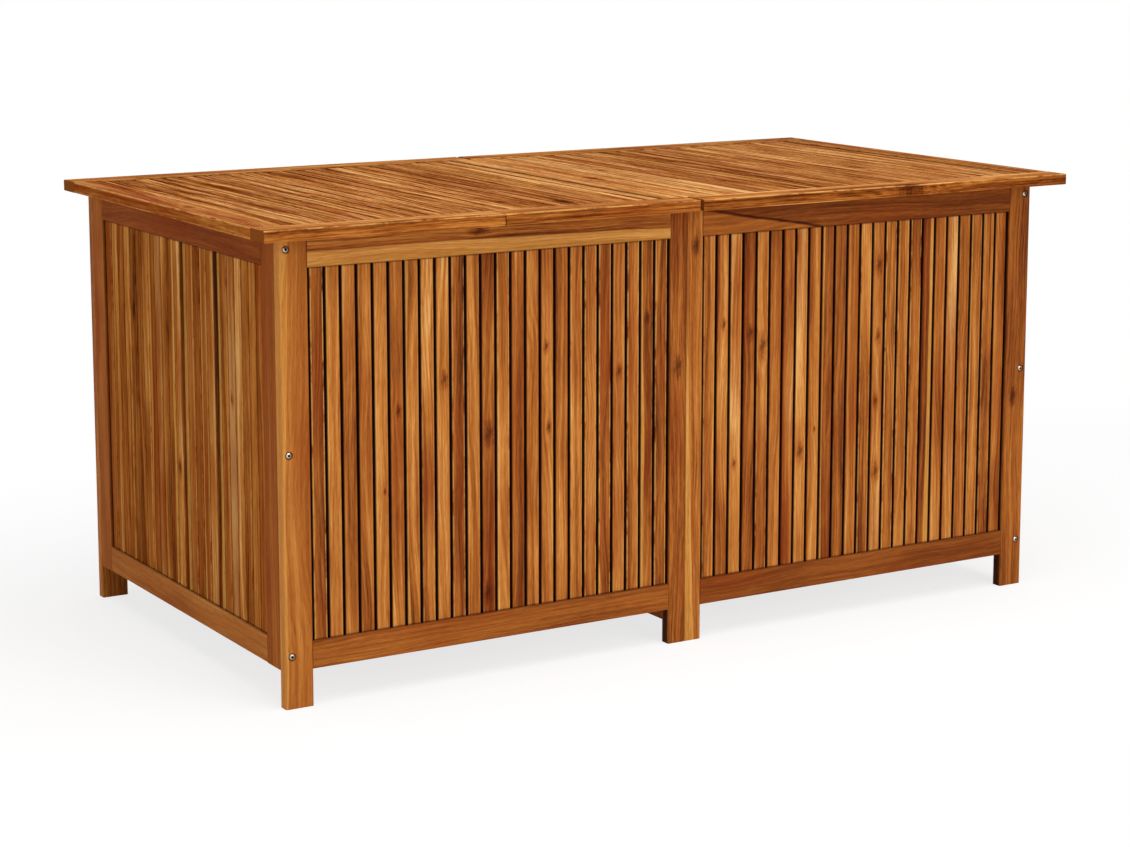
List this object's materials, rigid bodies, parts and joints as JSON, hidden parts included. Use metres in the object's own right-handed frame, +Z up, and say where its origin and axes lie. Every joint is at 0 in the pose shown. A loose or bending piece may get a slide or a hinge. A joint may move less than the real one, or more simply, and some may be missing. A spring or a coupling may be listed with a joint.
{
  "type": "deck storage box",
  "caption": "Long slatted hardwood storage box on short legs, with framed panels, a slatted floor and two slatted lids side by side that hinge at the back.",
  "frame": {"origin": "on the ground, midway between the outermost points in plan: the lids' ends, the lids' front edge and the tips of the hinge stop tabs at the back", "axes": "+X to the right along the front, +Y from front to back, +Z up"},
  "size_m": [1.5, 0.8172, 0.724],
  "materials": {
    "frame_wood": "oiled",
    "slat_wood": "oiled",
    "lid_frame_wood": "oiled",
    "lid_slat_wood": "oiled",
    "inner_wood": "oiled",
    "steel": "zinc plated"
  },
  "bodies": {
    "box_body": {"front_left_outer_stile": "frame_wood", "front_left_inner_stile": "frame_wood", "front_left_top_rail": "frame_wood", "front_left_bottom_rail": "frame_wood", "front_left_slats": "slat_wood", "front_right_outer_stile": "frame_wood", "front_right_inner_stile": "frame_wood", "front_right_top_rail": "frame_wood", "front_right_bottom_rail": "frame_wood", "front_right_slats": "slat_wood", "back_left_outer_stile": "frame_wood", "back_left_inner_stile": "frame_wood", "back_left_top_rail": "frame_wood", "back_left_bottom_rail": "frame_wood", "back_left_slats": "slat_wood", "back_right_outer_stile": "frame_wood", "back_right_inner_stile": "frame_wood", "back_right_top_rail": "frame_wood", "back_right_bottom_rail": "frame_wood", "back_right_slats": "slat_wood", "left_end_front_stile": "frame_wood", "left_end_back_stile": "frame_wood", "left_end_top_rail": "frame_wood", "left_end_bottom_rail": "frame_wood", "left_end_slats": "slat_wood", "right_end_front_stile": "frame_wood", "right_end_back_stile": "frame_wood", "right_end_top_rail": "frame_wood", "right_end_bottom_rail": "frame_wood", "right_end_slats": "slat_wood", "centre_beam": "inner_wood", "floor_cleats": "inner_wood", "left_floor_slats": "inner_wood", "right_floor_slats": "inner_wood", "hinge_body_leaves": "steel", "hinge_pins": "steel", "corner_bolts": "steel", "cross_dowels": "steel", "seam_plates": "steel", "beam_brackets": "steel", "fitting_screws": "steel", "floor_screws": "steel"},
    "left_lid": {"left_lid_front_rail": "lid_frame_wood", "left_lid_back_rail": "lid_frame_wood", "left_lid_outer_stile": "lid_frame_wood", "left_lid_inner_stile": "lid_frame_wood", "left_lid_slats": "lid_slat_wood", "left_lid_battens": "inner_wood", "left_lid_screws": "steel", "left_hinge_lid_leaves": "steel"},
    "right_lid": {"right_lid_front_rail": "lid_frame_wood", "right_lid_back_rail": "lid_frame_wood", "right_lid_outer_stile": "lid_frame_wood", "right_lid_inner_stile": "lid_frame_wood", "right_lid_slats": "lid_slat_wood", "right_lid_battens": "inner_wood", "right_lid_screws": "steel", "right_hinge_lid_leaves": "steel"}
  },
  "joints": [
    {"name": "left_lid_hinge", "type": "hinge", "parent": "box_body", "child": "left_lid", "pos_m": [-0.354, 0.39632, 0.706], "axis": [-1, 0, 0], "range_deg": [0, 97]},
    {"name": "right_lid_hinge", "type": "hinge", "parent": "box_body", "child": "right_lid", "pos_m": [0.354, 0.39632, 0.706], "axis": [-1, 0, 0], "range_deg": [0, 97]}
  ]
}
